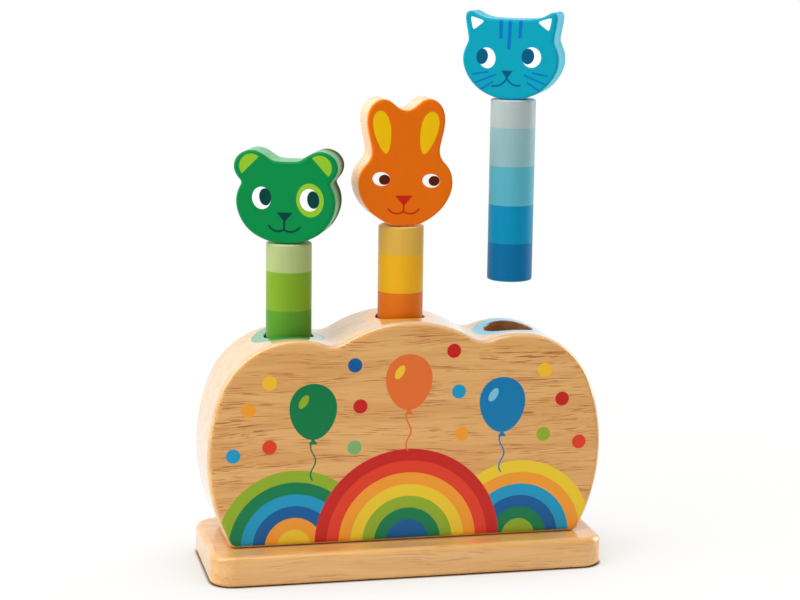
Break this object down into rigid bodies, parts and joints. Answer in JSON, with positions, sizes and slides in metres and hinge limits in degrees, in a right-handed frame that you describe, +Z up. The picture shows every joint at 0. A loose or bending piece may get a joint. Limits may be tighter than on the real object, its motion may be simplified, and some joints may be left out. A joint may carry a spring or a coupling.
{
  "type": "pop up animal toy",
  "caption": "Wooden pop up toy: sprung pegs with flat animal heads press down into a humped block, spring back, turn and lift out of their bores.",
  "frame": {"origin": "middle of the base board's underside", "axes": "+X along the toy to the viewer's right, +Y to the back, +Z up; the printed face looks along -Y"},
  "size_m": [0.2126, 0.078, 0.294],
  "materials": {
    "board_wood": "clear satin lacquer",
    "printed_wood": "clear satin lacquer over a coloured print",
    "inner_wood": "bare turned hardwood",
    "bear_paint": "satin paint, green",
    "rabbit_paint": "satin paint, orange",
    "cat_paint": "satin paint, blue",
    "screw_steel": "zinc plated",
    "spring_steel": "bright spring wire"
  },
  "bodies": {
    "block": {"base_board": "board_wood", "body_block": "printed_wood", "block_screws": "screw_steel", "seat_screws": "screw_steel", "bear_spring_seat": "inner_wood", "rabbit_spring_seat": "inner_wood", "cat_spring_seat": "inner_wood"},
    "bear_spring": {"bear_spring": "spring_steel"},
    "bear_neck_pin": {"bear_neck_pin": "inner_wood"},
    "bear_peg": {"bear_dowel": "bear_paint", "bear_head": "bear_paint"},
    "rabbit_spring": {"rabbit_spring": "spring_steel"},
    "rabbit_neck_pin": {"rabbit_neck_pin": "inner_wood"},
    "rabbit_peg": {"rabbit_dowel": "rabbit_paint", "rabbit_head": "rabbit_paint"},
    "cat_spring": {"cat_spring": "spring_steel"},
    "cat_neck_pin": {"cat_neck_pin": "inner_wood"},
    "cat_peg": {"cat_dowel": "cat_paint", "cat_head": "cat_paint"}
  },
  "joints": [
    {"name": "bear_press", "type": "slide", "parent": "block", "child": "bear_spring", "axis": [0, 0, 1], "range_m": [-0.0465, 0], "stiffness_N_per_m": 150, "springref_m": 0.006, "deforming": ["bear_spring"]},
    {"name": "bear_lift", "type": "slide", "parent": "bear_spring", "child": "bear_neck_pin", "axis": [0, 0, 1], "range_m": [0, 0.074]},
    {"name": "bear_turn", "type": "hinge", "parent": "bear_neck_pin", "child": "bear_peg", "pos_m": [-0.06, 0, 0.126], "axis": [0, 0, 1], "continuous": true},
    {"name": "rabbit_press", "type": "slide", "parent": "block", "child": "rabbit_spring", "axis": [0, 0, 1], "range_m": [-0.0465, 0], "stiffness_N_per_m": 150, "springref_m": 0.006, "deforming": ["rabbit_spring"]},
    {"name": "rabbit_lift", "type": "slide", "parent": "rabbit_spring", "child": "rabbit_neck_pin", "axis": [0, 0, 1], "range_m": [0, 0.074]},
    {"name": "rabbit_turn", "type": "hinge", "parent": "rabbit_neck_pin", "child": "rabbit_peg", "pos_m": [0, 0, 0.126], "axis": [0, 0, 1], "continuous": true},
    {"name": "cat_press", "type": "slide", "parent": "block", "child": "cat_spring", "axis": [0, 0, 1], "range_m": [-0.0465, 0], "stiffness_N_per_m": 150, "springref_m": 0.006, "deforming": ["cat_spring"]},
    {"name": "cat_lift", "type": "slide", "parent": "cat_spring", "child": "cat_neck_pin", "axis": [0, 0, 1], "range_m": [-0.074, 0]},
    {"name": "cat_turn", "type": "hinge", "parent": "cat_neck_pin", "child": "cat_peg", "pos_m": [0.06, 0, 0.126], "axis": [0, 0, 1], "continuous": true}
  ]
}
